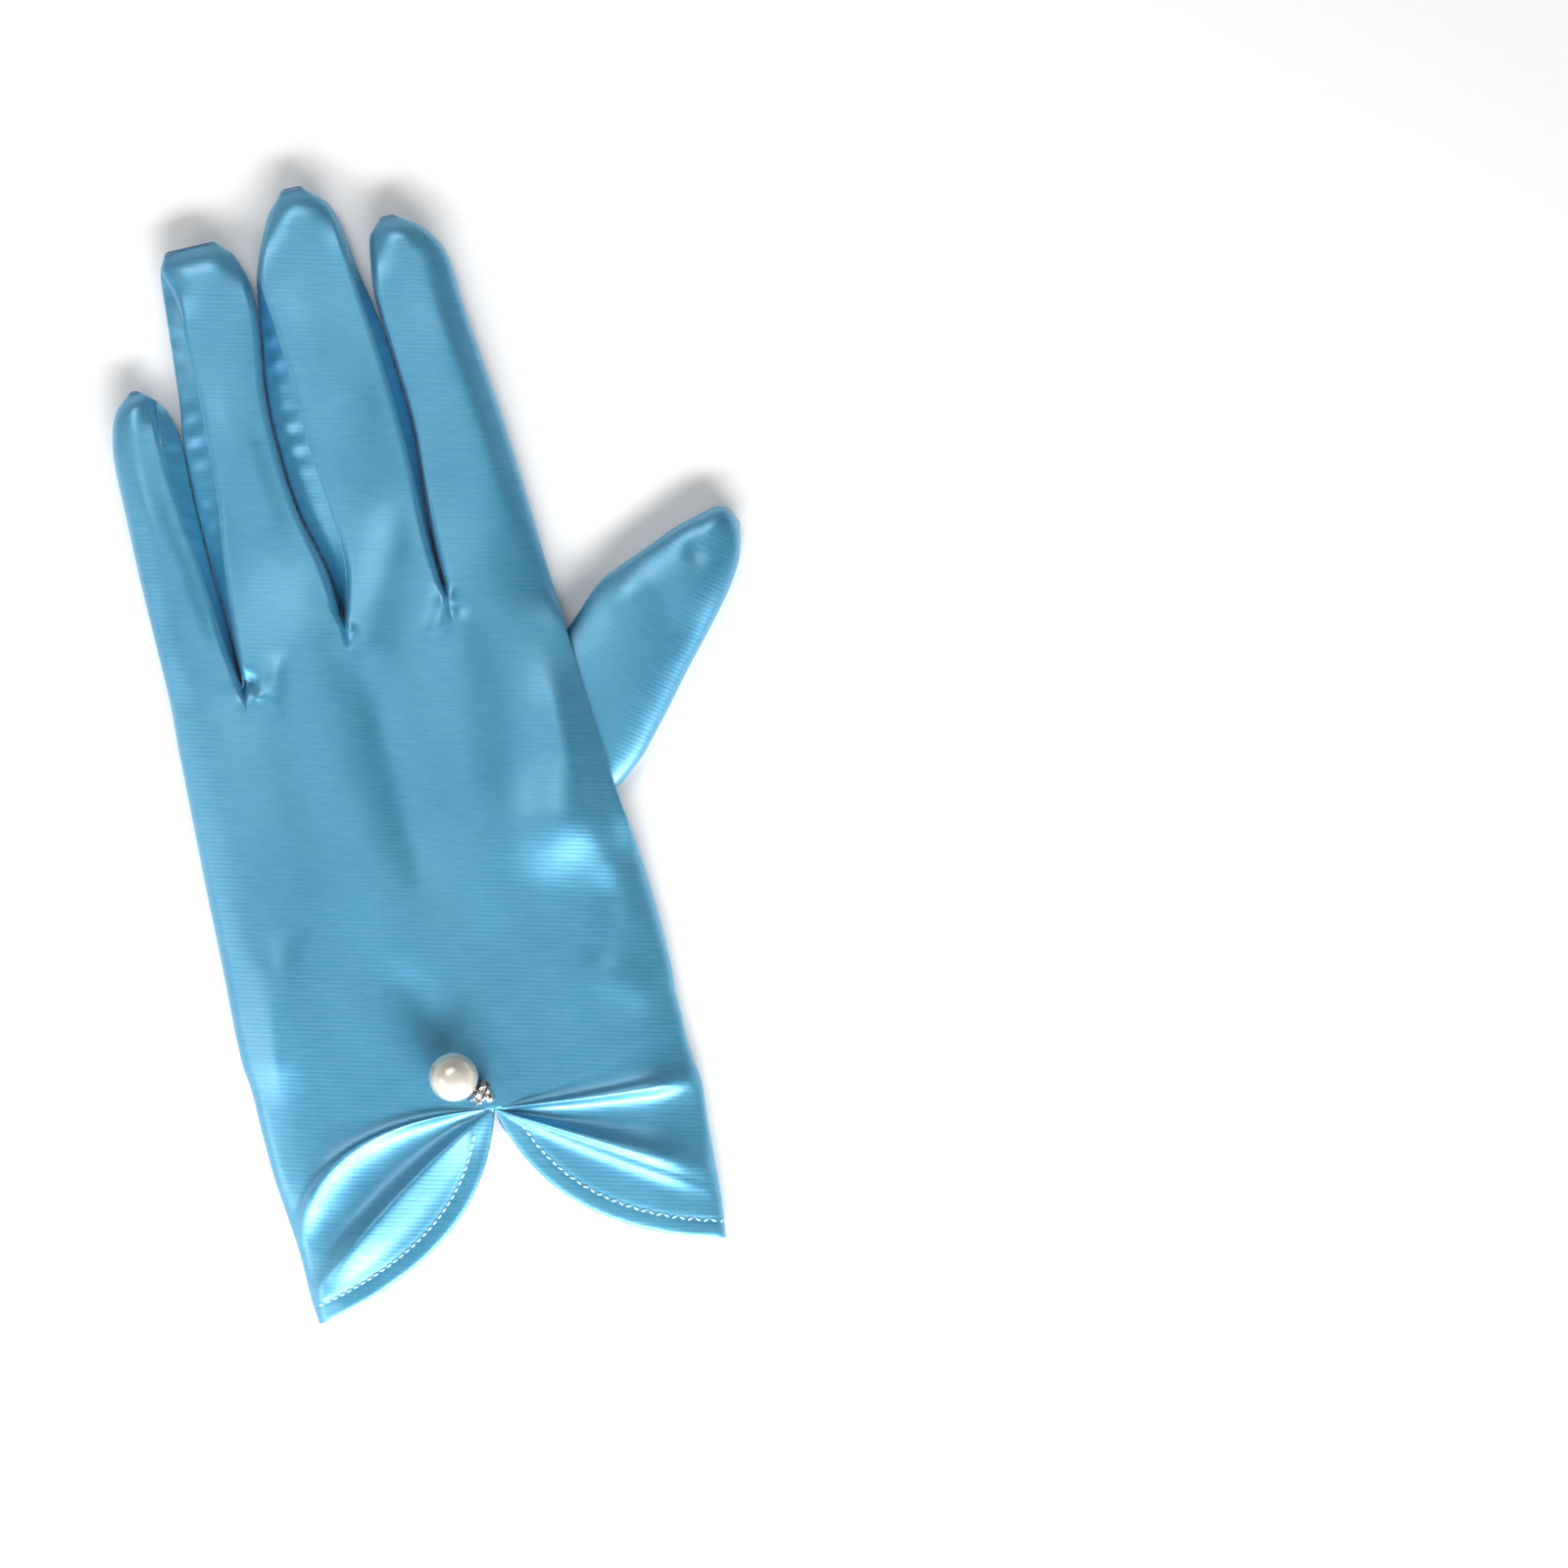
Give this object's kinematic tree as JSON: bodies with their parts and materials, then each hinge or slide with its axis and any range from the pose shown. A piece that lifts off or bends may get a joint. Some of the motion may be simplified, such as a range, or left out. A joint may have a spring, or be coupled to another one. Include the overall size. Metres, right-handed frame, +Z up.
{
  "type": "wrist length dress glove",
  "caption": "Left-hand wrist-length dress glove in blue stretch satin, lying flat on its palm, with a split gathered cuff and a pearl ornament.",
  "frame": {"origin": "on the palm's resting face, in the middle of the hand", "axes": "+Y towards the fingertips, +X towards the thumb, +Z up from the palm to the back of the hand"},
  "size_m": [0.124, 0.2285, 0.018],
  "materials": {
    "satin": "stretch satin with a soft sheen",
    "pearl": "pearl lustre",
    "silver": "bright silver plate",
    "crystal": "clear cut crystal",
    "thread": "shiny sewing thread"
  },
  "bodies": {
    "root": {"back_panel": "satin", "palm_panel": "satin", "fourchette_little_ring": "satin", "fourchette_ring_middle": "satin", "fourchette_middle_index": "satin", "thumb": "satin", "pearl": "pearl", "crystal_rondelle": "silver", "pin_ball": "silver"}
  },
  "joints": []
}
